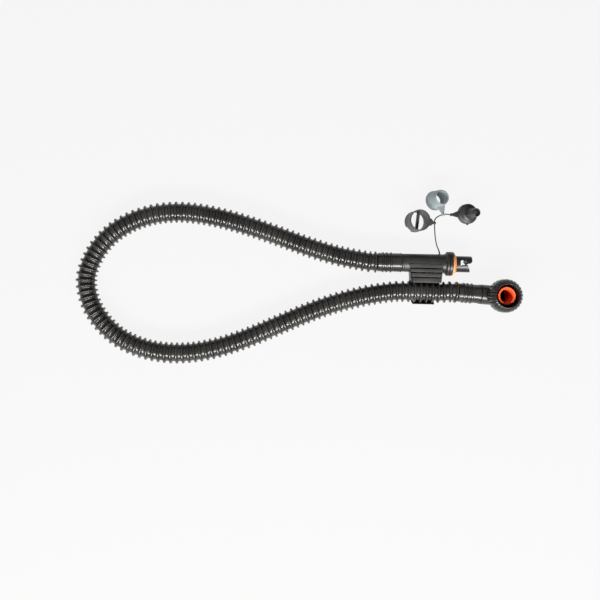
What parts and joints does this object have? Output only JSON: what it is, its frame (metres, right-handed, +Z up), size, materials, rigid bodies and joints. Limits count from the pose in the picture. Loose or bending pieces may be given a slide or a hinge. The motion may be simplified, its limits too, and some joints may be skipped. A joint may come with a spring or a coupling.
{
  "type": "inflation pump hose",
  "caption": "Corrugated air hose in a loop, with a bayonet valve connector clipped beside a pump elbow with a ridged collar nut, and spare valve adapters on a tether.",
  "frame": {"origin": "on the surface that the hose lies on, at the middle of the fittings' footprint, which is measured without the hose and the tether", "axes": "+X runs from the hose's loop towards the fittings' free ends, close to the way both fittings point; +Y runs from the pump elbow towards the spare adapters; +Z is up from the surface"},
  "size_m": [0.6187, 0.2428, 0.0533],
  "materials": {
    "hose": "semi-gloss flexible plastic, near black",
    "tether": "matte soft plastic cord",
    "cuff": "smooth satin flexible plastic",
    "connector": "satin moulded plastic with a fine spark texture",
    "nozzle": "smooth moulded plastic",
    "ring_seal": "matte rubber ring",
    "gasket": "matte silicone rubber",
    "elbow": "satin moulded plastic",
    "sleeve": "satin silicone rubber, orange red",
    "nut": "smooth moulded plastic, knurled outside",
    "adapter_grey": "satin moulded plastic, grey",
    "adapter_smoke": "cloudy see-through plastic, smoke grey",
    "adapter_dark": "satin moulded plastic, dark grey"
  },
  "bodies": {
    "hose_assembly": {"hose_tube": "hose", "tether_cord": "tether", "connector_cuff": "cuff", "connector_body": "connector", "bayonet_nozzle": "nozzle", "nozzle_ring": "ring_seal", "valve_gasket": "gasket", "tether_plug": "tether", "elbow_cuff": "cuff", "elbow_body": "elbow", "seal_sleeve": "sleeve"},
    "nut": {"collar_nut": "nut"},
    "ring": {"ring_adapter": "adapter_grey"},
    "cone": {"cone_adapter": "adapter_smoke"},
    "tip": {"nozzle_adapter": "adapter_dark"}
  },
  "joints": [
    {"name": "collar_nut_spin", "type": "hinge", "parent": "hose_assembly", "child": "nut", "pos_m": [0.07506, -0.06192, 0.03973], "axis": [0.0608, -0.005, 0.9981], "continuous": true},
    {"name": "ring_adapter_flip", "type": "hinge", "parent": "hose_assembly", "child": "ring", "pos_m": [-0.0199, 0.0395, 0.023], "axis": [0, 1, 0], "range_deg": [0, 75]},
    {"name": "cone_adapter_flip", "type": "hinge", "parent": "hose_assembly", "child": "cone", "pos_m": [-0.0071, 0.0516, 0.01885], "axis": [0.9816, 0.1908, 0], "range_deg": [0, 52]},
    {"name": "nozzle_adapter_swing", "type": "hinge", "parent": "hose_assembly", "child": "tip", "pos_m": [0.0045, 0.0518, 0.0164], "axis": [0, 0, 1], "range_deg": [-30, 30]}
  ]
}
